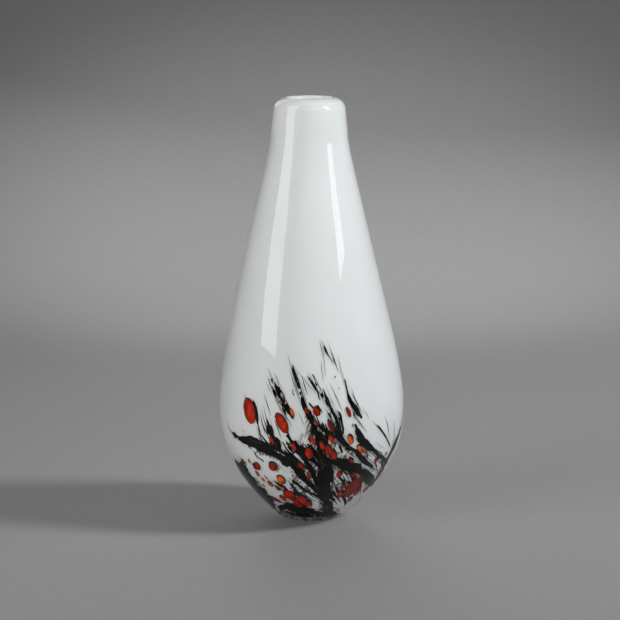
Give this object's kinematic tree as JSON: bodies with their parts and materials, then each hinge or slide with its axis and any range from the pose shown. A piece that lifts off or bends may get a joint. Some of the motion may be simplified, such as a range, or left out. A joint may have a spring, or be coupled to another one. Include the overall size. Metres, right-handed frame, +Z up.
{
  "type": "hand blown glass vase",
  "caption": "Tall teardrop vase of cased white glass with a slim neck, a small foot and black, red and orange glass pieces held under its clear casing.",
  "frame": {"origin": "middle of the foot, on the surface that the vase stands on", "axes": "+Z up through the mouth, -Y towards the decorated front, +X to the right seen from the front"},
  "size_m": [0.1366, 0.1366, 0.31],
  "materials": {
    "opal_glass": "gloss, opaque white opal",
    "clear_glass": "fire polished, clear",
    "black_glass": "gloss, nearly opaque",
    "red_glass": "gloss, nearly opaque",
    "orange_glass": "gloss, nearly opaque"
  },
  "bodies": {
    "root": {"black_back_left": "black_glass", "black_back_low": "black_glass", "black_back_right": "black_glass", "black_back_streak": "black_glass", "black_back_trunk": "black_glass", "black_band_left": "black_glass", "black_branch_left": "black_glass", "black_branch_right": "black_glass", "black_bundle_left": "black_glass", "black_diagonal_far": "black_glass", "black_diagonal_right": "black_glass", "black_edge_left": "black_glass", "black_edge_right": "black_glass", "black_mark_high": "black_glass", "black_mark_low": "black_glass", "black_root": "black_glass", "black_side_low": "black_glass", "black_side_right": "black_glass", "black_side_streak": "black_glass", "black_slash": "black_glass", "black_spur_left": "black_glass", "black_streak_feather": "black_glass", "black_streak_forked": "black_glass", "black_streak_long": "black_glass", "black_streak_middle": "black_glass", "black_thread_far": "black_glass", "black_thread_high": "black_glass", "black_thread_left": "black_glass", "black_trunk": "black_glass", "clear_casing": "clear_glass", "opal_body": "opal_glass", "orange_back_berry": "orange_glass", "orange_berry_low": "orange_glass", "orange_dot_left": "orange_glass", "orange_petal_right": "orange_glass", "orange_side_petal": "orange_glass", "red_back_berry": "red_glass", "red_back_cluster": "red_glass", "red_back_ellipse": "red_glass", "red_back_petal": "red_glass", "red_berry_left": "red_glass", "red_berry_outer": "red_glass", "red_cluster_left": "red_glass", "red_cluster_right": "red_glass", "red_dot_right": "red_glass", "red_drop_bundle": "red_glass", "red_drop_inner": "red_glass", "red_drop_trunk": "red_glass", "red_edge_left": "red_glass", "red_ellipse_right": "red_glass", "red_leaf_low": "red_glass", "red_petal_centre": "red_glass", "red_petal_fork": "red_glass", "red_petal_left": "red_glass", "red_petal_pair": "red_glass", "red_petal_slash": "red_glass", "red_side_berry": "red_glass", "red_side_petal": "red_glass"}
  },
  "joints": []
}
